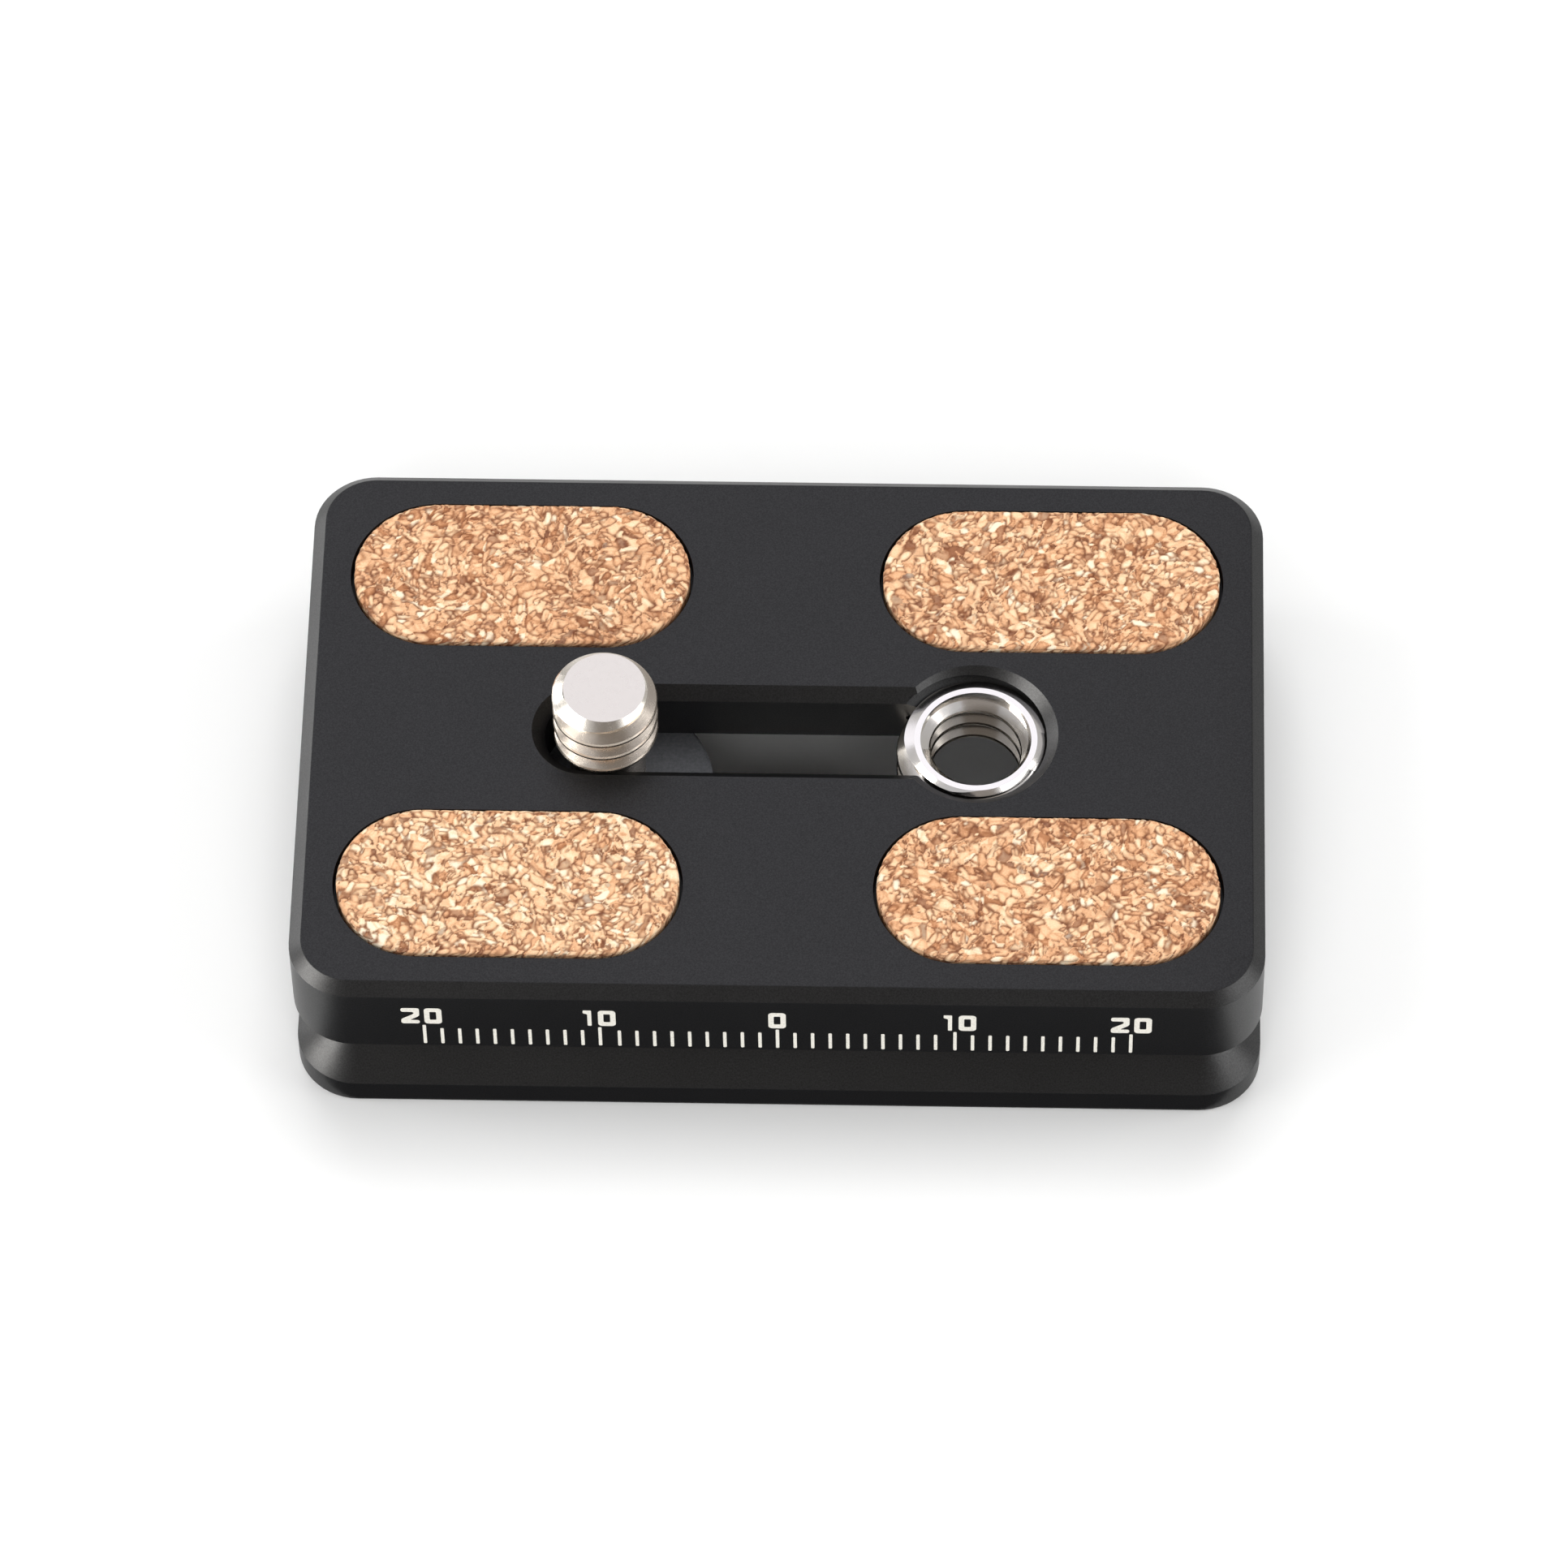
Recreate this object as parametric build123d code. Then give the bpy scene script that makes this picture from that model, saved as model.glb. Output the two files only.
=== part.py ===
from build123d import *
import os

# Quick release plate for a camera, in millimetres. X runs along the plate, Y away from the face
# that carries the scale, Z up. The origin is the middle of the plate's underside.

# Plate
plate_length = 55.5
plate_width = 36.0
plate_height = 11.85
plate_corner_r = 3.6
edge_chamfer = 0.7
edge_break = 0.12

# Dovetail groove, milled all round: a lip below, a sloping flank, a straight bottom and a square shoulder
lip_height = 1.73
groove_depth = 2.5
groove_top = 6.0

# Pockets for the pads, and the pads. A pocket reaches from the margin to the wall beside the tapped hole
pocket_length = 20.0
pocket_depth = 1.2
pocket_margin = 2.34
pocket_hole_wall = 0.91
pad_gap_long = 0.2
pad_gap_wide = 0.15
pad_proud = 0.28
pad_edge = 0.12

# Camera screw, 1/4 inch by 20 threads to the inch, drawn at its crests
screw_x = -10.15
thread_r = 3.06
thread_length = 4.45
thread_chamfer = 0.7
thread_lead_out = 0.1
shank_r = 2.2
screw_slack = 1.7
head_r = 6.0
head_height = 3.6
head_edge = 0.3
coin_slot_width = 1.5
coin_slot_depth = 1.4
hex_across_flats = 4.0
hex_depth = 2.6

# Washer between the screw's head and the web
washer_r = 6.1
washer_thickness = 0.8
washer_gap = 0.08
washer_edge = 0.15

# Slot that the shank runs in, and the channel under it that the head runs in
slot_gap = 0.26
slot_mouth_chamfer = 0.72
slot_end_x = -11.27
thread_seat_gap = 0.03
web_thickness = 4.05
channel_side_gap = 1.65
channel_end_gap = 0.85
channel_mouth_chamfer = 0.3

# Tapped hole, 3/8 inch by 16 threads to the inch, drawn at its core, and the bushing in it
hole_x = 11.15
hole_r = 4.1
hole_chamfer = 0.65
bushing_gap = 0.03
bushing_sunk = 0.55
bushing_length = 4.4
bushing_edge = 0.3
bushing_bore_r = 2.6
bushing_countersink = 0.8
bushing_foot_chamfer = 0.25

# How far a cut runs past the face that it opens, and how near to a height an edge that lies at it is
cut_over = 1.0
level_margin = 0.001

# Heights and places that follow from the sizes above
slot_half = shank_r + slot_gap
slot_mouth_half = slot_half + slot_mouth_chamfer
web_bottom = plate_height - web_thickness
thread_foot_r = thread_r - thread_lead_out
thread_bottom = plate_height - (slot_mouth_half - thread_foot_r) + thread_seat_gap
screw_top = thread_bottom + thread_length
washer_top = web_bottom - screw_slack
head_top = washer_top - washer_thickness
head_bottom = head_top - head_height
slot_travel = hole_x - slot_end_x
slot_middle_x = (slot_end_x + hole_x) / 2
channel_width = 2 * (washer_r + channel_side_gap)
channel_length = slot_travel + 2 * (washer_r + channel_end_gap)
pocket_width = plate_width / 2 - pocket_margin - pocket_hole_wall - (hole_r + hole_chamfer)
pocket_x = plate_length / 2 - pocket_margin - pocket_length / 2
pocket_y = plate_width / 2 - pocket_margin - pocket_width / 2
pocket_floor = plate_height - pocket_depth
pad_length = pocket_length - 2 * pad_gap_long
pad_width = pocket_width - 2 * pad_gap_wide
pad_thickness = pocket_depth + pad_proud
bushing_r = hole_r - bushing_gap
bushing_top = plate_height - bushing_sunk
bushing_foot = bushing_top - bushing_length

pad_places = {
    "cork_pad_rear_left": (-1, 1),
    "cork_pad_rear_right": (1, 1),
    "cork_pad_front_left": (-1, -1),
    "cork_pad_front_right": (1, -1),
}


def rounded_block(length, width, radius, bottom, top):
    """A block with round corners in plan, from one height to another."""
    outline = RectangleRounded(length, width, radius)
    return extrude(Plane.XY.offset(bottom) * outline, top - bottom)


def stadium(length, width, bottom, top):
    """A block with full-round ends, along X and centred on the origin."""
    return extrude(Plane.XY.offset(bottom) * SlotOverall(length, width), top - bottom)


def stadium_funnel(length, width, bottom, top, spread):
    """A full-round slot that widens by spread on every side, from one height to another."""
    return loft(
        [
            Plane.XY.offset(bottom) * SlotOverall(length, width),
            Plane.XY.offset(top) * SlotOverall(length + 2 * spread, width + 2 * spread),
        ],
        ruled=True,
    )


def edges_at(shape, height):
    """The edges that lie flat at one height."""
    return shape.edges().filter_by_position(Axis.Z, height - level_margin, height + level_margin)


def turned(*points):
    """A solid turned about the Z axis from points (radius, height) on one side of it."""
    profile = Plane.XZ * make_face(Polyline(*points, close=True))
    return revolve(profile, Axis.Z)


def dovetail_body():
    """The plate's outside: lip, 45 degree flank, neck and the thick upper part, with its edges broken."""
    neck_length = plate_length - 2 * groove_depth
    neck_width = plate_width - 2 * groove_depth
    neck_corner_r = plate_corner_r - groove_depth
    flank_top = lip_height + groove_depth
    lip = rounded_block(plate_length, plate_width, plate_corner_r, 0, lip_height)
    lip = chamfer(edges_at(lip, 0), edge_break)
    flank = loft(
        [
            Plane.XY.offset(lip_height) * RectangleRounded(plate_length, plate_width, plate_corner_r),
            Plane.XY.offset(flank_top) * RectangleRounded(neck_length, neck_width, neck_corner_r),
        ],
        ruled=True,
    )
    neck = rounded_block(neck_length, neck_width, neck_corner_r, flank_top, groove_top)
    upper = rounded_block(plate_length, plate_width, plate_corner_r, groove_top, plate_height)
    upper = chamfer(edges_at(upper, groove_top), edge_break)
    upper = chamfer(edges_at(upper, plate_height), edge_chamfer)
    upper = fillet(edges_at(upper, plate_height), edge_break)
    jaw_side = fillet(edges_at(lip + flank, lip_height), edge_break)
    return jaw_side + neck + upper


def slot_cut():
    """The through slot from its round left end into the tapped hole, and its chamfered mouth."""
    length = slot_travel + 2 * slot_half
    width = 2 * slot_half
    mouth_bottom = plate_height - slot_mouth_chamfer
    wall = stadium(length, width, -cut_over, plate_height + cut_over)
    mouth = stadium_funnel(length, width, mouth_bottom, plate_height, slot_mouth_chamfer)
    return Pos(slot_middle_x, 0, 0) * (wall + mouth)


def hole_cut():
    """The tapped hole, at its core size, with the chamfer at its mouth."""
    cut = turned(
        (0, -cut_over),
        (hole_r, -cut_over),
        (hole_r, plate_height - hole_chamfer),
        (hole_r + hole_chamfer, plate_height),
        (0, plate_height),
    )
    return Pos(hole_x, 0, 0) * cut


def channel_cut():
    """The channel under the web that the screw's head and washer slide in."""
    channel = stadium(channel_length, channel_width, 0, web_bottom)
    mouth = stadium_funnel(channel_length, channel_width, channel_mouth_chamfer, 0, channel_mouth_chamfer)
    return Pos(slot_middle_x, 0, 0) * (channel + mouth)


def plate_body():
    """The plate, with every pocket and opening cut."""
    body = dovetail_body()
    body -= channel_cut()
    body -= slot_cut()
    body -= hole_cut()
    pocket = stadium(pocket_length, pocket_width, pocket_floor, plate_height + cut_over)
    for side_x, side_y in pad_places.values():
        body -= Pos(side_x * pocket_x, side_y * pocket_y, 0) * pocket
    return body


def cork_pad(side_x, side_y):
    """One pad, glued on the floor of its pocket and standing a little proud."""
    pad_top = pocket_floor + pad_thickness
    pad = stadium(pad_length, pad_width, pocket_floor, pad_top)
    pad = chamfer(edges_at(pad, pad_top), pad_edge)
    return Pos(side_x * pocket_x, side_y * pocket_y, 0) * pad


def camera_screw():
    """The captive screw: thread, undercut shank, and a head with a coin slot and a hexagon socket."""
    body = turned(
        (0, head_bottom),
        (head_r - head_edge, head_bottom),
        (head_r, head_bottom + head_edge),
        (head_r, head_top - head_edge),
        (head_r - head_edge, head_top),
        (shank_r, head_top),
        (shank_r, thread_bottom),
        (thread_foot_r, thread_bottom),
        (thread_r, thread_bottom + thread_lead_out),
        (thread_r, screw_top - thread_chamfer),
        (thread_r - thread_chamfer, screw_top),
        (0, screw_top),
    )
    slot_outline = Rectangle(2 * (head_r + cut_over), coin_slot_width)
    coin_slot = extrude(Plane.XY.offset(head_bottom) * slot_outline, coin_slot_depth)
    hexagon = RegularPolygon(hex_across_flats / 2, 6, major_radius=False)
    socket = extrude(Plane.XY.offset(head_bottom) * hexagon, hex_depth)
    return Pos(screw_x, 0, 0) * (body - coin_slot - socket)


def screw_washer():
    """The washer on the shank, lying on the screw's head."""
    bore_r = shank_r + washer_gap
    ring = turned(
        (bore_r, head_top),
        (washer_r - washer_edge, head_top),
        (washer_r, head_top + washer_edge),
        (washer_r, washer_top - washer_edge),
        (washer_r - washer_edge, washer_top),
        (bore_r, washer_top),
    )
    return Pos(screw_x, 0, 0) * ring


def reducer_bushing():
    """The bushing, at its core size, with a countersunk bore."""
    ring = turned(
        (bushing_bore_r + bushing_foot_chamfer, bushing_foot),
        (bushing_r - bushing_foot_chamfer, bushing_foot),
        (bushing_r, bushing_foot + bushing_foot_chamfer),
        (bushing_r, bushing_top - bushing_edge),
        (bushing_r - bushing_edge, bushing_top),
        (bushing_bore_r + bushing_countersink, bushing_top),
        (bushing_bore_r, bushing_top - bushing_countersink),
        (bushing_bore_r, bushing_foot + bushing_foot_chamfer),
    )
    return Pos(hole_x, 0, 0) * ring


def write(shape, node):
    """Writes one node's file."""
    export_step(shape, f"parts/{node}.step")


os.makedirs("parts", exist_ok=True)
write(plate_body(), "plate_body")
for node, (side_x, side_y) in pad_places.items():
    write(cork_pad(side_x, side_y), node)
write(camera_screw(), "camera_screw")
write(screw_washer(), "screw_washer")
write(reducer_bushing(), "reducer_bushing")
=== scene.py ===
import math

import bmesh
import bpy
import numpy as np
from mathutils import Matrix, Vector


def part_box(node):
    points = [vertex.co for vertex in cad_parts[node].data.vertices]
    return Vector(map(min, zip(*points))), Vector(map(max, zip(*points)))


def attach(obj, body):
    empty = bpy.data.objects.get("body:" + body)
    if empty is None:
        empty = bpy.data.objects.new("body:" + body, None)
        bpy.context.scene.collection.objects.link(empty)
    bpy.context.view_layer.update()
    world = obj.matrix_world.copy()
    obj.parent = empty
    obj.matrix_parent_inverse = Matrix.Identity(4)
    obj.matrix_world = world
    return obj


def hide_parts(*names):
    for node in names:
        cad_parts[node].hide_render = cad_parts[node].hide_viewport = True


# Quick release plate. Blender works in metres; sizes below are millimetres times MM.
MM = 0.001

# Camera. The photograph is square and its lens is given by the focal length in its pixels
photo_px = 1932
focal_px = 11442.6
sensor_mm = 36.0
near_clip = 0.01
camera_elevation = 0.99008
camera_yaw = -0.04237
camera_roll = -0.02239
camera_distance = 546.96 * MM
camera_target = Vector((-0.1445, 4.1334, 0)) * MM

# How near two points are to be one, a point to a plane that cuts, and a point to a height
weld_margin = 1e-7
plane_margin = 1e-8
level_margin = 1e-6

# Largest angle in degrees between faces that are shaded as one surface
plain_smooth = 30
thread_smooth = 20
cork_smooth = 60

# Quarter inch thread, 20 to the inch, on the screw and in the bushing's bore
quarter_pitch = 1.27 * MM
screw_crest_r = 3.03 * MM
screw_root_r = 2.42 * MM
screw_crest_flat = 0.22 * MM
screw_crest_height = 11.98 * MM
bore_root_r = 3.18 * MM
bore_crest_flat = 0.17 * MM
bore_crest_height = 8.92 * MM

# Three eighths of an inch thread, 16 to the inch, on the bushing and in the plate's hole
three_eighths_pitch = 1.5875 * MM
bushing_crest_r = 4.58 * MM
bushing_root_r = 3.83 * MM
bushing_crest_flat = 0.24 * MM
bushing_crest_height = 9.85 * MM
hole_root_r = 4.76 * MM
hole_groove_inner_r = 3.9 * MM
hole_groove_root_flat = 0.3 * MM
hole_thread_turns = 6

# A crest's upper edge is worn to a narrow, nearly upright facet
crest_wear = 0.06 * MM
crest_wear_height = 0.11 * MM

thread_steps = 120
flank_slope = math.tan(math.radians(30))

# Screw
screw_r = 3.06 * MM
screw_foot_r = 2.96 * MM
screw_thread_foot = 11.66 * MM
screw_chamfer = 0.7 * MM
# Below this height the screw's colour is darkened as painted shade of its thread and head
screw_shade_top = 15.35 * MM
shank_cut = 9.0 * MM

# Bushing. The crown is its rounded upper edge, from the top down: the depth and the radius there
ring_inner_r = 3.2 * MM
crown = ((0, 3.55 * MM), (0.24 * MM, 4.14 * MM), (0.8 * MM, 4.65 * MM))
bore_r = 2.6 * MM
countersink = 0.82 * MM
foot_chamfer = 0.3 * MM
# Below this height the bushing's colour is darkened as painted shade of its threads and bore
bushing_shade_top = 10.35 * MM

# Turned metal: over how far its painted shade blends into its own colour, and how its roughness spreads
shade_blend = 0.15 * MM
roughness_spread = (0.88, 1.15)

# Scale on the front wall
scale_middle = 0.1 * MM
scale_pitch = 1.0 * MM
scale_end_shift = 0.1 * MM
scale_reach = 20
figure_every = 10
scale_foot = 6.34 * MM
minor_length = 1.62 * MM
major_length = 1.95 * MM
tick_width = 0.195 * MM
tick_corner = 0.07 * MM
figure_foot = 8.45 * MM
figure_height = 1.62 * MM
figure_gap = 0.27 * MM
print_thickness = 0.012 * MM

# Outlines of the scale's figures in parts of their width and height, the outer one first
figure_widths = {"0": 1.0 * MM, "1": 0.58 * MM, "2": 1.05 * MM}
figure_corners = {"0": (0.24 * MM, 0.07 * MM), "1": (0.06 * MM,), "2": (0.15 * MM,)}
figure_outlines = {
    "0": (
        ((0, 0), (1, 0), (1, 1), (0, 1)),
        ((0.31, 0.25), (0.69, 0.25), (0.69, 0.77), (0.31, 0.77)),
    ),
    "1": (((0.42, 0), (0.82, 0), (0.82, 1), (0, 1), (0, 0.82), (0.42, 0.76)),),
    "2": (
        (
            (0, 0),
            (1, 0),
            (1, 0.22),
            (0.46, 0.22),
            (1, 0.5),
            (1, 1),
            (0, 1),
            (0, 0.76),
            (0.7, 0.76),
            (0.7, 0.62),
            (0, 0.28),
        ),
    ),
}

# What is printed at each figure's line, and how far to the right of it
scale_figures = {
    -20: ("20", -0.12 * MM),
    -10: ("10", 0),
    0: ("0", 0),
    10: ("10", 0.28 * MM),
    20: ("20", 0),
}

# Cork pads: a seed for the random numbers and how much paler than the middle tone a pad is
pads = {
    "cork_pad_rear_left": (11, 0.0),
    "cork_pad_rear_right": (23, 0.05),
    "cork_pad_front_left": (37, 0.16),
    "cork_pad_front_right": (41, 0.02),
}
pad_voxel = 0.06 * MM
pad_hidden_depth = 0.9 * MM

# Pattern of the cork, with lengths in millimetres for the arrays that work it out
pattern_margin = 0.6
pattern_waves = ((1.3, 0.035), (0.5, 0.012))
pattern_slant = 0.8
pattern_strips = 48
granule_area = 0.135
granule_reach = 1.6
granule_stretch = 0.3
stretch_spread = 0.22
size_spread = 0.3
granule_swirl = ((2.0, 0.3), (1.3, 0.5))
turn_spread = 0.55
seam_width = 0.09
corner_width = 0.13

# Tones of the granules from 0 to 1, and which shares of them are palest and dark
middle_tone = 0.47
tone_spread = 0.2
pale_end = 0.9
palest_share = 0.05
dark_share = 0.045
# How much lighter a granule's middle is than its border, as painted light in the middle and painted shade at
# the border, and over how far it changes
border_painted_shade = 0.3
border_reach = 0.3

# Relief of the granules on a pad's top and at its rim, also in millimetres
granule_sunk = 0.035
seam_sunk = 0.02
gap_sunk = 0.05
dark_sunk = 0.02
chipped_share = 0.3
chip_depths = (0.03, 0.09)
rim_seam_sunk = 0.03
rim_depth = 0.4
relief_end = 0.75
relief_fade = 0.3

# Colours of the cork as they look on a screen, from 0 to 255
cork_tones = (
    (0, (187, 128, 88)),
    (0.25, (224, 168, 125)),
    (0.5, (244, 195, 152)),
    (0.75, (252, 214, 172)),
    (0.92, (254, 228, 194)),
    (1, (255, 237, 210)),
)
dark_granule = (117, 69, 52)
seam_brown = (152, 96, 60)
gap_brown = (108, 60, 40)

# Surroundings: how bright they are as light on matt surfaces, and in reflections from the horizon up
world_light = 0.25
world_heights = (
    (0.01, (0.5, 0.49, 0.48)),
    (0.3, (0.42, 0.41, 0.4)),
    (0.6, (0.45, 0.44, 0.45)),
    (0.98, (0.5, 0.5, 0.52)),
)

# Studio in metres: half the floor's side, and how far away the soft boxes stand
floor_reach = 3
light_distance = 1.4
mirrored_distance = 1.0


def tint(red, green, blue):
    """A colour given as it looks on a screen, from 0 to 255, as the shader's linear colour."""
    return tuple(((c / 255 + 0.055) / 1.055) ** 2.4 for c in (red, green, blue))


def make_camera():
    """The photograph's camera, from its elevation, yaw, roll and distance."""
    forward = Vector((
        math.sin(camera_yaw) * math.cos(camera_elevation),
        math.cos(camera_yaw) * math.cos(camera_elevation),
        -math.sin(camera_elevation),
    ))
    level = Vector((math.cos(camera_yaw), -math.sin(camera_yaw), 0))
    upright = level.cross(forward)
    right = math.cos(camera_roll) * level + math.sin(camera_roll) * upright
    up = math.cos(camera_roll) * upright - math.sin(camera_roll) * level
    turn = Matrix((right, up, -forward)).transposed().to_4x4()
    data = bpy.data.cameras.new("camera")
    data.sensor_width = sensor_mm
    data.lens = focal_px * sensor_mm / photo_px
    data.clip_start = near_clip
    camera = bpy.data.objects.new("camera", data)
    camera.matrix_world = Matrix.Translation(camera_target - forward * camera_distance) @ turn
    bpy.context.scene.collection.objects.link(camera)
    bpy.context.scene.camera = camera


class Nodes:
    """The nodes of a material or of the world."""

    def __init__(self, tree):
        self.tree = tree

    def give(self, node, name, value):
        """Sets a node's input from a plain value or from another node's output."""
        if isinstance(value, bpy.types.NodeSocket):
            self.tree.links.new(value, node.inputs[name])
        else:
            node.inputs[name].default_value = value

    def add(self, kind, inputs=None, **settings):
        """A new node of one kind with its settings and inputs."""
        node = self.tree.nodes.new(kind)
        for name, value in settings.items():
            setattr(node, name, value)
        for name, value in (inputs or {}).items():
            self.give(node, name, value)
        return node

    def noise(self, place, scale, detail, roughness):
        """Noise on a set of coordinates, from 0 to 1."""
        inputs = {"Vector": place, "Scale": scale, "Detail": detail, "Roughness": roughness}
        return self.add("ShaderNodeTexNoise", inputs).outputs["Fac"]

    def ranged(self, source, start, end, low=0, high=1):
        """A value between start and end moved to between low and high, and held at the ends."""
        inputs = {"Value": source, "From Min": start, "From Max": end, "To Min": low, "To Max": high}
        return self.add("ShaderNodeMapRange", inputs).outputs["Result"]

    def ramp(self, source, stops):
        """A colour that follows a value through stops, each a place and a colour."""
        node = self.add("ShaderNodeValToRGB", {"Fac": source})
        elements = node.color_ramp.elements
        for end in (0, -1):
            position, colour = stops[end]
            elements[end].position = position
            elements[end].color = (*colour, 1)
        for position, colour in stops[1:-1]:
            elements.new(position).color = (*colour, 1)
        return node.outputs["Color"]

    def mix(self, share, under, over):
        """One colour over another by a share from 0 to 1."""
        return self.add("ShaderNodeMix", {0: share, 6: under, 7: over}, data_type="RGBA").outputs[2]


class Finish(Nodes):
    """A new material with its Principled shader."""

    def __init__(self, name):
        self.material = bpy.data.materials.new(name)
        self.material.use_nodes = True
        super().__init__(self.material.node_tree)
        self.principled = self.tree.nodes["Principled BSDF"]

    def place(self):
        """The piece's own coordinates."""
        return self.add("ShaderNodeTexCoord").outputs["Object"]

    def surface(self, inputs):
        """Sets inputs of the shader itself."""
        for name, value in inputs.items():
            self.give(self.principled, name, value)

    def bump(self, height, depth):
        """Small relief in the shading, from a height between 0 and 1."""
        node = self.add("ShaderNodeBump", {"Height": height, "Strength": 1, "Distance": depth})
        self.surface({"Normal": node.outputs["Normal"]})


def soft_box(name, toward, side, radiance, mirrored=False, colour=(1, 1, 1)):
    """A square soft box in a direction from the plate, either as light or as seen in reflections."""
    data = bpy.data.lights.new(name, "AREA")
    data.shape = "SQUARE"
    data.size = side
    data.energy = 4 * radiance * side * side
    data.color = colour
    lamp = bpy.data.objects.new(name, data)
    lamp.location = Vector(toward).normalized() * (mirrored_distance if mirrored else light_distance)
    lamp.rotation_euler = (-Vector(toward)).to_track_quat("-Z", "Y").to_euler()
    lamp.visible_glossy = mirrored
    lamp.visible_diffuse = not mirrored
    bpy.context.scene.collection.objects.link(lamp)


def dark_card(name, place, facing, width, height, shade):
    """A card that glows with a dark shade and shows in reflections alone, as a painted dark reflection:
    beside the camera for the photographer's side of the room, and on the floor in front of the plate to
    darken what its front wall reflects.
    """
    finish = Finish(name)
    finish.surface({
        "Base Color": (0, 0, 0, 1),
        "Roughness": 1,
        "Specular IOR Level": 0,
        "Emission Color": (*shade, 1),
        "Emission Strength": 1,
    })
    bm = bmesh.new()
    bmesh.ops.create_grid(bm, x_segments=1, y_segments=1, size=0.5)
    bmesh.ops.scale(bm, vec=(width, height, 1), verts=bm.verts)
    turn = Vector(facing).to_track_quat("Z", "Y").to_matrix().to_4x4()
    bmesh.ops.transform(bm, matrix=Matrix.Translation(place) @ turn, verts=bm.verts)
    card = mesh_object(name, bm, finish.material)
    card.visible_camera = False
    card.visible_diffuse = False
    card.visible_transmission = False
    card.visible_shadow = False


def studio_world():
    """Surroundings that are white to the camera, grey by height in reflections, and weaker as light."""
    world = bpy.data.worlds.new("studio")
    bpy.context.scene.world = world
    world.use_nodes = True
    nodes = Nodes(world.node_tree)
    path = nodes.add("ShaderNodeLightPath").outputs
    through = {0: path["Is Glossy Ray"], 1: path["Is Transmission Ray"]}
    mirrored = nodes.add("ShaderNodeMath", through, operation="MAXIMUM").outputs["Value"]
    direction = nodes.add("ShaderNodeTexCoord").outputs["Generated"]
    height = nodes.add("ShaderNodeSeparateXYZ", {"Vector": direction}).outputs["Z"]
    light = (world_light, world_light, world_light, 1)
    unseen = nodes.mix(mirrored, light, nodes.ramp(height, world_heights))
    shown = nodes.mix(path["Is Camera Ray"], unseen, (1, 1, 1, 1))
    nodes.give(world.node_tree.nodes["Background"], "Color", shown)


def drop_stored_normals(data):
    """Removes normals that came with a CAD mesh, which no longer fit once its doubles are merged."""
    stored = data.attributes.get("custom_normal")
    if stored:
        data.attributes.remove(stored)


def mesh_object(name, bm, material, smooth=plain_smooth):
    """An object from a bmesh, smooth up to an angle between faces, with its material."""
    data = bpy.data.meshes.new(name)
    bm.to_mesh(data)
    bm.free()
    drop_stored_normals(data)
    data.shade_smooth()
    data.set_sharp_from_angle(angle=math.radians(smooth))
    if material:
        data.materials.append(material)
    made = bpy.data.objects.new(name, data)
    bpy.context.scene.collection.objects.link(made)
    return made


def evaluated_mesh(source):
    """An object's mesh with its modifiers applied."""
    return bpy.data.meshes.new_from_object(source.evaluated_get(bpy.context.evaluated_depsgraph_get()))


def merged_copy(node):
    """A CAD node's mesh as a bmesh with its doubles merged."""
    bm = bmesh.new()
    bm.from_mesh(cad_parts[node].data)
    bmesh.ops.remove_doubles(bm, verts=bm.verts, dist=weld_margin)
    return bm


def open_loop(bm, height):
    """The open edges that lie at one height."""
    rims = [e for e in bm.edges if e.is_boundary]
    return [e for e in rims if all(abs(v.co.z - height) < level_margin for v in e.verts)]


def close_ring(bm, height):
    """Closes the flat ring between two open loops at one height."""
    bmesh.ops.triangle_fill(bm, edges=open_loop(bm, height), use_beauty=True, normal=(0, 0, 1))


def raised_points(raised):
    """The points among what an extrusion made."""
    return [g for g in raised["geom"] if isinstance(g, bmesh.types.BMVert)]


def cut_at(bm, height, **clear):
    """Cuts along one height, and clears what lies above or below it where that is asked for."""
    geom = bm.verts[:] + bm.edges[:] + bm.faces[:]
    level = {"plane_co": (0, 0, height), "plane_no": (0, 0, 1)}
    bmesh.ops.bisect_plane(bm, geom=geom, dist=plane_margin, **level, **clear)


def threaded_tube(crest_r, root_r, crest_flat, pitch, crest_height, bottom, top):
    """A right-hand thread's surface between two heights. crest_height is a crest's middle at azimuth 0."""
    flank = abs(crest_r - root_r) * flank_slope
    worn_r = crest_r + math.copysign(crest_wear, root_r - crest_r)
    worn_top = crest_flat / 2 + crest_wear * flank_slope
    outline = [
        (crest_r, 0),
        (crest_r, worn_top - crest_wear_height),
        (worn_r, worn_top),
        (root_r, crest_flat / 2 + flank),
        (root_r, pitch - crest_flat / 2 - flank),
        (crest_r, pitch - crest_flat / 2),
        (crest_r, pitch),
    ]
    start = crest_height - pitch * math.ceil((crest_height - bottom) / pitch + 2)
    turns = math.ceil((top - start) / pitch) + 1
    bm = bmesh.new()
    corners = [bm.verts.new((r, 0, start + z)) for r, z in outline]
    sides = [bm.edges.new(pair) for pair in zip(corners, corners[1:])]
    bmesh.ops.spin(
        bm,
        geom=corners + sides,
        cent=(0, 0, 0),
        axis=(0, 0, 1),
        dvec=(0, 0, pitch / thread_steps),
        angle=math.tau * turns,
        steps=thread_steps * turns,
    )
    bmesh.ops.remove_doubles(bm, verts=bm.verts, dist=weld_margin)
    cut_at(bm, bottom, clear_inner=True)
    cut_at(bm, top, clear_outer=True)
    return bm


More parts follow.
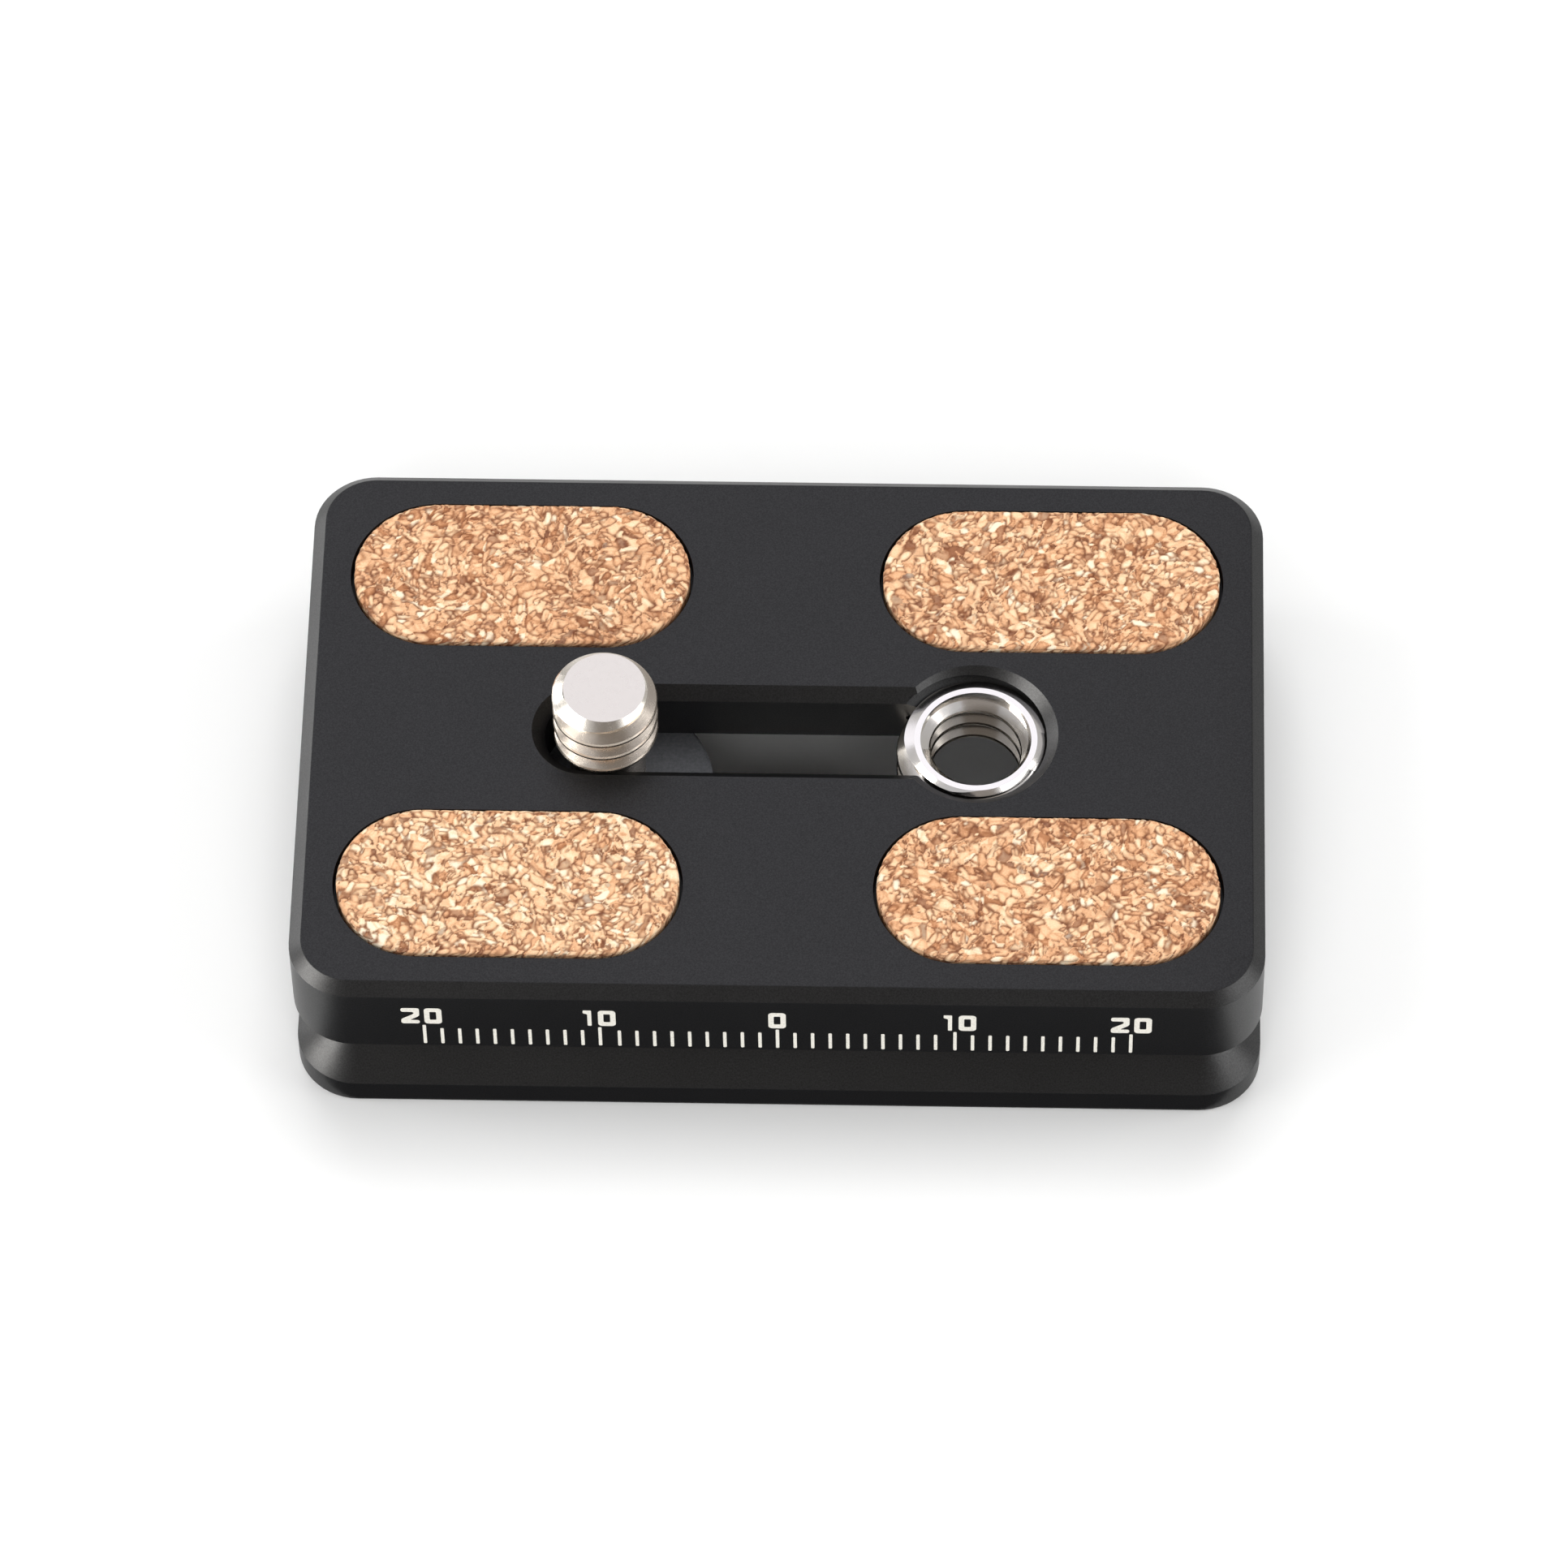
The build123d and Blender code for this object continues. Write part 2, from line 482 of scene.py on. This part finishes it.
def limit_radius(bm, low, high, radius_at, keep):
    """Brings points between two heights to radius_at(height). keep is min for a pin and max for a bore."""
    for height in (low, high):
        cut_at(bm, height)
    for v in bm.verts:
        if low - weld_margin <= v.co.z <= high + weld_margin:
            radius = math.hypot(v.co.x, v.co.y)
            scale = keep(radius, radius_at(v.co.z)) / radius
            v.co.x *= scale
            v.co.y *= scale


def join(bm, other):
    """Adds another bmesh to bm."""
    spare = bpy.data.meshes.new("spare")
    other.to_mesh(spare)
    other.free()
    bm.from_mesh(spare)
    bpy.data.meshes.remove(spare)


def turned_metal(name, bright, painted_shade, height, roughness, axis, depth):
    """Metal with fine tool marks round an upright axis, in its own colour above a height and darkened below
    it as painted shade.
    """
    finish = Finish(name)
    place = finish.place()
    centred = finish.add("ShaderNodeMapping", {"Vector": place, "Location": (-axis.x, -axis.y, 0)})
    split = finish.add("ShaderNodeSeparateXYZ", {"Vector": centred.outputs["Vector"]}).outputs
    flat = finish.add("ShaderNodeCombineXYZ", {"X": split["X"], "Y": split["Y"]})
    radius = finish.add("ShaderNodeVectorMath", {0: flat.outputs["Vector"]}, operation="LENGTH")
    rings = finish.add("ShaderNodeCombineXYZ", {"X": radius.outputs["Value"], "Z": split["Z"]})
    marks = finish.noise(rings.outputs["Vector"], scale=14000, detail=2, roughness=0.6)
    cloud = finish.noise(place, scale=2500, detail=3, roughness=0.6)
    # Painted shade: the colour darkens below the given height, standing in for shade in the threads and bore
    unshaded = finish.ranged(split["Z"], height - shade_blend, height + shade_blend)
    finest, coarsest = (roughness * share for share in roughness_spread)
    finish.surface({
        "Metallic": 1,
        "Base Color": finish.mix(unshaded, (*painted_shade, 1), (*bright, 1)),
        "Roughness": finish.ranged(cloud, 0.3, 0.7, finest, coarsest),
    })
    finish.bump(marks, depth)
    return finish.material


def black_anodised():
    """Bead-blasted aluminium, dyed black: dark, with a fine even grain and a satin shine."""
    finish = Finish("black_anodised")
    place = finish.place()
    grain = finish.noise(place, scale=11000, detail=2, roughness=0.7)
    cloud = finish.noise(place, scale=220, detail=3, roughness=0.5)
    tones = ((0.3, (0.001, 0.001, 0.0012)), (0.7, (0.003, 0.003, 0.0035)))
    finish.surface({
        "Base Color": finish.ramp(grain, tones),
        "Specular IOR Level": finish.ranged(grain, 0.3, 0.7, 0.42, 0.62),
        "Roughness": finish.ranged(cloud, 0, 1, 0.36, 0.46),
    })
    finish.bump(grain, 0.0025 * MM)
    return finish.material


def grey_nylon():
    """Moulded washer: matt grey with a faint mottle."""
    finish = Finish("grey_nylon")
    mottle = finish.noise(finish.place(), scale=6000, detail=4, roughness=0.6)
    tones = ((0.3, (0.13, 0.135, 0.15)), (0.7, (0.2, 0.205, 0.22)))
    finish.surface({"Base Color": finish.ramp(mottle, tones), "Roughness": 0.5})
    finish.bump(mottle, 0.006 * MM)
    return finish.material


def scale_print():
    """Off-white print of the scale, a little worn."""
    finish = Finish("scale_print")
    wear = finish.noise(finish.place(), scale=9000, detail=3, roughness=0.6)
    tones = ((0.25, (0.63, 0.61, 0.54)), (0.5, (0.87, 0.84, 0.76)))
    finish.surface({"Base Color": finish.ramp(wear, tones), "Roughness": 0.6})
    return finish.material


def pale_paper():
    """The studio's floor."""
    finish = Finish("pale_paper")
    finish.surface({"Base Color": (0.96, 0.96, 0.955, 1), "Roughness": 0.9, "Specular IOR Level": 0.1})
    return finish.material


def pressed_cork():
    """Granules of pressed cork in tan, cream and brown, with brown seams between them."""
    finish = Finish("pressed_cork")
    place = finish.place()
    fine = finish.noise(place, scale=9000, detail=4, roughness=0.65)
    broad = finish.noise(place, scale=2200, detail=2, roughness=0.5)

    def worked_out(name):
        """A value that the pad's mesh carries."""
        return finish.add("ShaderNodeAttribute", attribute_name=name).outputs["Fac"]

    def combined(kind, first, second):
        """Two values added or multiplied."""
        return finish.add("ShaderNodeMath", {0: first, 1: second}, operation=kind).outputs["Value"]

    def stained(under, name, colour, amount, uneven):
        """A stain over a colour where the mesh says, unevenly."""
        patchy = finish.ranged(broad, 0.3, 0.65, amount * (1 - uneven), amount)
        share = combined("MULTIPLY", worked_out(name), patchy)
        return finish.mix(share, under, (*tint(*colour), 1))

    flecks = finish.ranged(fine, 0.25, 0.75, -0.17, 0.17)
    # The mesh's granule tone carries painted shade towards each granule's border and painted light in its
    # middle
    toned = combined("ADD", worked_out("granule"), flecks)
    shade = finish.ramp(toned, [(position, tint(*colour)) for position, colour in cork_tones])
    shade = stained(shade, "dark", dark_granule, 0.95, 0.4)
    shade = stained(shade, "seam", seam_brown, 0.9, 0.5)
    shade = stained(shade, "gap", gap_brown, 0.95, 0.5)
    finish.surface({"Base Color": shade, "Roughness": 0.85, "Specular IOR Level": 0.25})
    finish.bump(fine, 0.02 * MM)
    return finish.material


def crest_at_azimuth_0():
    """Height of a crest of the bushing's outer thread on its +X side, half a turn from where it is given."""
    return bushing_crest_height - three_eighths_pitch / 2


def tapped_plate(material):
    """The plate with the thread cut in its hole."""
    plate = mesh_object("tapped_plate", merged_copy("plate_body"), material)
    axis = sum(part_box("reducer_bushing"), Vector()) / 2
    half_root = hole_groove_root_flat / 2
    half_mouth = half_root + (hole_root_r - hole_groove_inner_r) * flank_slope
    outline = [
        (hole_groove_inner_r, -half_mouth),
        (hole_root_r, -half_root),
        (hole_root_r, half_root),
        (hole_groove_inner_r, half_mouth),
    ]
    start = crest_at_azimuth_0() - hole_thread_turns / 2 * three_eighths_pitch
    bm = bmesh.new()
    corners = [bm.verts.new((r, 0, start + z)) for r, z in outline]
    tooth = bm.faces.new(corners)
    bmesh.ops.spin(
        bm,
        geom=[tooth],
        cent=(0, 0, 0),
        axis=(0, 0, 1),
        dvec=(0, 0, three_eighths_pitch / thread_steps),
        angle=math.tau * hole_thread_turns,
        steps=thread_steps * hole_thread_turns,
    )
    bmesh.ops.remove_doubles(bm, verts=bm.verts, dist=plane_margin)
    bmesh.ops.holes_fill(bm, edges=[e for e in bm.edges if e.is_boundary], sides=4)
    bmesh.ops.recalc_face_normals(bm, faces=bm.faces)
    bmesh.ops.translate(bm, vec=(axis.x, axis.y, 0), verts=bm.verts)
    tap = mesh_object("tap", bm, material)
    cut = plate.modifiers.new("thread", "BOOLEAN")
    cut.object = tap
    cut.solver = "EXACT"
    finished = evaluated_mesh(plate)
    plate.modifiers.clear()
    plate.data = finished
    finished.shade_smooth()
    finished.set_sharp_from_angle(angle=math.radians(thread_smooth))
    bpy.data.objects.remove(tap)
    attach(plate, "plate")
    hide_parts("plate_body")


def reducer_bushing(material):
    """The bushing, threaded outside and inside, with a countersunk mouth."""
    low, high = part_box("reducer_bushing")
    axis = (low + high) / 2
    foot, top = low.z, high.z
    outside = threaded_tube(
        bushing_crest_r,
        bushing_root_r,
        bushing_crest_flat,
        three_eighths_pitch,
        crest_at_azimuth_0(),
        foot,
        top,
    )
    for (upper, upper_r), (lower, lower_r) in zip(crown, crown[1:]):
        widening = (lower_r - upper_r) / (lower - upper)
        upper_z = top - upper
        limit_radius(outside, top - lower, upper_z, lambda z: upper_r + (upper_z - z) * widening, min)
    reach = bushing_crest_r - bushing_root_r
    limit_radius(outside, foot, foot + reach, lambda z: bushing_root_r + z - foot, min)
    bore = threaded_tube(
        bore_r,
        bore_root_r,
        bore_crest_flat,
        quarter_pitch,
        bore_crest_height - quarter_pitch / 4,
        foot,
        top,
    )
    widening = (ring_inner_r - bore_r) / countersink
    limit_radius(bore, top - countersink, top, lambda z: bore_r + (z - top + countersink) * widening, max)
    limit_radius(bore, foot, foot + foot_chamfer, lambda z: bore_r + foot + foot_chamfer - z, max)
    join(outside, bore)
    for height in (foot, top):
        close_ring(outside, height)
    bmesh.ops.recalc_face_normals(outside, faces=outside.faces)
    bmesh.ops.translate(outside, vec=(axis.x, axis.y, 0), verts=outside.verts)
    bushing = mesh_object("bushing_with_threads", outside, material, smooth=thread_smooth)
    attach(bushing, "plate")
    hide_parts("reducer_bushing")


def camera_screw(material):
    """The screw: head and shank as in the CAD solid, and a real thread above them."""
    low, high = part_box("camera_screw")
    axis = (low + high) / 2
    top = high.z
    bm = merged_copy("camera_screw")
    cut_at(bm, shank_cut, clear_outer=True)
    bmesh.ops.translate(bm, vec=(-axis.x, -axis.y, 0), verts=bm.verts)
    shank_top = raised_points(bmesh.ops.extrude_edge_only(bm, edges=open_loop(bm, shank_cut)))
    bmesh.ops.translate(bm, vec=(0, 0, screw_thread_foot - shank_cut), verts=shank_top)
    thread = threaded_tube(
        screw_crest_r,
        screw_root_r,
        screw_crest_flat,
        quarter_pitch,
        screw_crest_height + quarter_pitch / 4,
        screw_thread_foot,
        top,
    )
    limit_radius(thread, top - screw_chamfer, top, lambda z: screw_r - screw_chamfer + top - z, min)
    foot = screw_thread_foot
    limit_radius(thread, foot, foot + screw_r - screw_foot_r, lambda z: screw_foot_r + z - foot, min)
    bmesh.ops.contextual_create(thread, geom=open_loop(thread, top))
    join(bm, thread)
    close_ring(bm, screw_thread_foot)
    bmesh.ops.recalc_face_normals(bm, faces=bm.faces)
    bmesh.ops.translate(bm, vec=(axis.x, axis.y, 0), verts=bm.verts)
    screw = mesh_object("screw_with_thread", bm, material, smooth=thread_smooth)
    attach(screw, "screw")
    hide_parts("camera_screw")


def wandering(plan, rng):
    """Points in plan moved by small waves, so that the granules' borders aren't straight."""
    for wavelength, wander in pattern_waves:
        heading = rng.uniform(0, math.tau, 4)
        waves = plan @ np.stack((np.cos(heading), np.sin(heading))) * math.tau / wavelength
        waves = np.sin(waves + rng.uniform(0, math.tau, 4))
        moved = (waves[:, 0] + waves[:, 1], waves[:, 2] + waves[:, 3])
        plan = plan + wander * np.stack(moved, axis=1)
    return plan


def granule_pattern(plan, rng):
    """Which granule each point in plan is in, how far it is from that granule's border and corner,
    how strong the bond there is, and how many granules there are."""
    low = plan.min(axis=0) - pattern_margin
    high = plan.max(axis=0) + pattern_margin
    count = int(np.prod(high - low) / granule_area)
    centre = rng.uniform(low, high, (count, 2))
    drift = rng.uniform(0, math.tau, 2)
    (swing_x, pace_x), (swing_y, pace_y) = granule_swirl
    angle = swing_x * np.sin(pace_x * centre[:, 0] + drift[0])
    angle += swing_y * np.sin(pace_y * centre[:, 1] + drift[1])
    angle += rng.normal(0, turn_spread, count)
    along = np.stack((np.cos(angle), np.sin(angle)), axis=1)
    across = np.stack((-np.sin(angle), np.cos(angle)), axis=1)
    stretch = np.exp(rng.normal(granule_stretch, stretch_spread, count))
    size = np.exp(rng.normal(0, size_spread, count))
    bond = rng.random(count)
    own = np.zeros(len(plan), dtype=int)
    border = np.zeros(len(plan))
    corner = np.zeros(len(plan))
    strength = np.zeros(len(plan))
    order = np.argsort(plan[:, 0])
    for part in np.array_split(order, pattern_strips):
        points = plan[part]
        left = points[0, 0] - granule_reach
        right = points[-1, 0] + granule_reach
        near = np.flatnonzero((centre[:, 0] > left) & (centre[:, 0] < right))
        offset = points[:, None, :] - centre[near][None, :, :]
        length = (offset * along[near]).sum(axis=2) / stretch[near]
        width = (offset * across[near]).sum(axis=2) * stretch[near]
        distance = np.hypot(length, width) / size[near]
        rows = np.arange(len(part))
        ranks = []
        for _ in range(3):
            nearest = distance.argmin(axis=1)
            ranks.append((near[nearest], distance[rows, nearest]))
            distance[rows, nearest] = np.inf
        own[part] = ranks[0][0]
        border[part] = ranks[1][1] - ranks[0][1]
        corner[part] = ranks[2][1] - ranks[0][1]
        strength[part] = (bond[ranks[0][0]] + bond[ranks[1][0]]) % 1
    return own, border, corner, strength, count


def pad_shell(node):
    """A pad with its top and upper side as small even faces, and plain walls below."""
    low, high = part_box(node)
    source = mesh_object("source", merged_copy(node), None)
    remesh = source.modifiers.new("voxels", "REMESH")
    remesh.mode = "VOXEL"
    remesh.voxel_size = pad_voxel
    made = evaluated_mesh(source)
    bpy.data.objects.remove(source)
    bm = bmesh.new()
    bm.from_mesh(made)
    bpy.data.meshes.remove(made)
    cut_height = high.z - pad_hidden_depth
    cut_at(bm, cut_height, clear_inner=True)
    foot = raised_points(bmesh.ops.extrude_edge_only(bm, edges=open_loop(bm, cut_height)))
    bmesh.ops.translate(bm, vec=(0, 0, low.z - cut_height), verts=foot)
    bmesh.ops.contextual_create(bm, geom=open_loop(bm, low.z))
    bmesh.ops.recalc_face_normals(bm, faces=bm.faces)
    return bm


def read_vectors(points, name):
    """A vector of each point, as rows of an array."""
    values = np.empty(len(points) * 3)
    points.foreach_get(name, values)
    return values.reshape(-1, 3)


def cork_pad(node, seed, paleness, material):
    """A pad of pressed cork: its granules stand at slightly different heights and crumble at the rim."""
    pad = mesh_object(node + "_granules", pad_shell(node), material, smooth=cork_smooth)
    mesh = pad.data
    places = read_vectors(mesh.vertices, "co")
    facing = read_vectors(mesh.vertices, "normal")
    depth = (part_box(node)[1].z - places[:, 2]) / MM
    plan = places[:, :2] / MM + pattern_slant * depth[:, None]
    rng = np.random.default_rng(seed)
    own, border, corner, strength, count = granule_pattern(wandering(plan, rng), rng)

    tone = np.clip(rng.normal(middle_tone + paleness, tone_spread, count), 0, pale_end)
    tone[rng.random(count) < palest_share + paleness / 3] = 1.0
    dark = (rng.random(count) < dark_share) * rng.uniform(0.5, 1, count)
    height = rng.uniform(-granule_sunk, 0, count)
    chipped = (rng.random(count) < chipped_share) * rng.uniform(*chip_depths, count)
    seam = np.exp(-((border / seam_width) ** 2)) * np.clip(2 * strength - 0.4, 0.15, 1)
    gap = np.exp(-((corner / corner_width) ** 2)) * (strength > 0.35)

    rim = np.where(depth < rim_depth, np.clip(1 - np.abs(facing[:, 2]), 0, 1), 0)
    relief = height[own] - seam_sunk * seam - gap_sunk * gap - dark_sunk * dark[own]
    crumbled = chipped[own] + rim_seam_sunk * seam
    fade = np.clip((relief_end - depth) / relief_fade, 0, 1)
    moved = fade * (relief * (1 - rim) - rim * crumbled)
    places += facing * moved[:, None] * MM
    mesh.vertices.foreach_set("co", places.ravel())
    # A granule's tone, with painted shade towards its border and painted light in its middle
    shade = tone[own] + border_painted_shade * np.clip(border / border_reach, 0, 1) - border_painted_shade / 2
    for name, values in (("granule", shade), ("seam", seam), ("gap", gap), ("dark", dark[own])):
        carried = mesh.attributes.new(name, "FLOAT", "POINT")
        carried.data.foreach_set("value", values.astype(np.float32))
    mesh.update()
    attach(pad, "plate")
    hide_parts(node)


def rounded_outline(bm, points, radius):
    """Adds an outline in plan with its corners rounded, and no face."""
    corners = [bm.verts.new((x, y, 0)) for x, y in points]
    bm.faces.new(corners)
    bmesh.ops.bevel(
        bm,
        geom=corners,
        offset=radius,
        offset_type="OFFSET",
        segments=4,
        profile=0.5,
        affect="VERTICES",
        material=-1,
    )
    bmesh.ops.delete(bm, geom=bm.faces[:], context="FACES_ONLY")


def flat_shape(outlines, radii):
    """A flat shape from an outline and the outlines of its holes."""
    bm = bmesh.new()
    for points, radius in zip(outlines, radii):
        rounded_outline(bm, points, radius)
    bmesh.ops.triangle_fill(bm, edges=bm.edges, use_beauty=True)
    return bm


def tick(length):
    """One line of the scale, standing on its foot."""
    half = tick_width / 2
    return flat_shape([((-half, 0), (half, 0), (half, length), (-half, length))], [tick_corner])


def figure(character):
    """One figure of the scale, with its lower left corner at the origin."""
    width = figure_widths[character]
    outlines = [
        [(x * width, y * figure_height) for x, y in outline]
        for outline in figure_outlines[character]
    ]
    return flat_shape(outlines, figure_corners[character])


def line_place(count):
    """Where a line stands along the wall. The print's ends lie a little further out than its middle."""
    shift = math.copysign(scale_end_shift, count) if abs(count) >= figure_every else 0
    return scale_middle + count * scale_pitch + shift


def scale_marks(material):
    """The printed scale: a line every millimetre, longer ones every ten, and their figures."""
    marks = bmesh.new()

    def place(shape, across, height):
        """Puts a shape in its place on the wall."""
        bmesh.ops.translate(shape, vec=(across, height, 0), verts=shape.verts)
        join(marks, shape)

    for count in range(-scale_reach, scale_reach + 1):
        length = minor_length if count % figure_every else major_length
        place(tick(length), line_place(count), scale_foot)
    for count, (words, shift) in scale_figures.items():
        widths = [figure_widths[character] for character in words]
        across = line_place(count) + shift - (sum(widths) + figure_gap * (len(words) - 1)) / 2
        for character, width in zip(words, widths):
            place(figure(character), across, figure_foot)
            across += width + figure_gap
    upright = Matrix.Rotation(math.pi / 2, 3, "X")
    bmesh.ops.rotate(marks, cent=(0, 0, 0), matrix=upright, verts=marks.verts)
    front_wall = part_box("plate_body")[0].y
    bmesh.ops.translate(marks, vec=(0, front_wall, 0), verts=marks.verts)
    front = raised_points(bmesh.ops.extrude_face_region(marks, geom=marks.faces[:]))
    bmesh.ops.translate(marks, vec=(0, -print_thickness, 0), verts=front)
    bmesh.ops.recalc_face_normals(marks, faces=marks.faces)
    scale = mesh_object("scale_marks", marks, material)
    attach(scale, "plate")


def studio():
    """Floor, soft boxes, dark cards and surroundings."""
    bm = bmesh.new()
    bmesh.ops.create_grid(bm, x_segments=1, y_segments=1, size=floor_reach)
    floor = mesh_object("floor", bm, pale_paper())
    studio_world()
    soft_box("top_light", (0, 0.24, 0.97), side=0.7, radiance=2.5)
    soft_box("window_light", (0, 0.62, 0.78), side=1.0, radiance=1.3)
    soft_box("left_light", (-0.82, -0.1, 0.57), side=1.0, radiance=1.85)
    soft_box("right_light", (0.82, 0, 0.57), side=1.0, radiance=1.55)
    soft_box("front_light", (0, -0.8, 0.6), side=1.0, radiance=2.1)
    cool = (0.96, 0.955, 1.08)
    warm = (1, 0.98, 0.95)
    soft_box("window", (-0.24, 0.52, 0.82), side=0.95, radiance=0.46, mirrored=True, colour=cool)
    soft_box("left_box", (-0.86, -0.3, 0.39), side=0.62, radiance=8.5, mirrored=True, colour=warm)
    soft_box("left_rear_box", (-0.83, 0.5, 0.2), side=0.36, radiance=5.2, mirrored=True)
    soft_box("right_box", (0.86, -0.3, 0.38), side=0.84, radiance=2.3, mirrored=True)
    camera_side = Vector((0.06, -0.7, 0.71))
    dark_card(
        "camera_side_card",
        place=camera_side * 0.75,
        facing=-camera_side,
        width=0.6,
        height=0.84,
        shade=(0.24, 0.217, 0.2),
    )
    # A dark card lying on the floor in front of the plate, seen only in reflections: it paints a dark
    # reflection into the plate's front wall and lip where the floor would show
    dark_card(
        "painted_reflection_card",
        place=(0, -0.0305, 0.0002),
        facing=(0, 0, 1),
        width=0.06,
        height=0.025,
        shade=(0.105, 0.105, 0.11),
    )


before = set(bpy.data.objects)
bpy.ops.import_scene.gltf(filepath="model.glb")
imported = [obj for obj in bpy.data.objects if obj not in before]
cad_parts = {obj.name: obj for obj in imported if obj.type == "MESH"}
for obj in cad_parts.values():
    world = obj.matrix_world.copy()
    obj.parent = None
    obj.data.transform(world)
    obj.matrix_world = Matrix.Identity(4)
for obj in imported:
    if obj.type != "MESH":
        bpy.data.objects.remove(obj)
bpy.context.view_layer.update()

make_camera()
screw_axis = sum(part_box("camera_screw"), Vector()) / 2
bushing_axis = sum(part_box("reducer_bushing"), Vector()) / 2
tapped_plate(black_anodised())
nickel = turned_metal(
    "bright_nickel",
    bright=(0.95, 0.92, 0.88),
    painted_shade=(0.42, 0.39, 0.35),
    height=bushing_shade_top,
    roughness=0.17,
    axis=bushing_axis,
    depth=0.0012 * MM,
)
reducer_bushing(nickel)
steel = turned_metal(
    "turned_steel",
    bright=(0.8, 0.755, 0.69),
    painted_shade=(0.66, 0.59, 0.51),
    height=screw_shade_top,
    roughness=0.25,
    axis=screw_axis,
    depth=0.0018 * MM,
)
camera_screw(steel)
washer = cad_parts["screw_washer"]
washer.data.materials.clear()
washer.data.materials.append(grey_nylon())
cork = pressed_cork()
for node, (seed, paleness) in pads.items():
    cork_pad(node, seed, paleness, cork)
scale_marks(scale_print())
studio()

bpy.context.scene.view_settings.view_transform = "Standard"
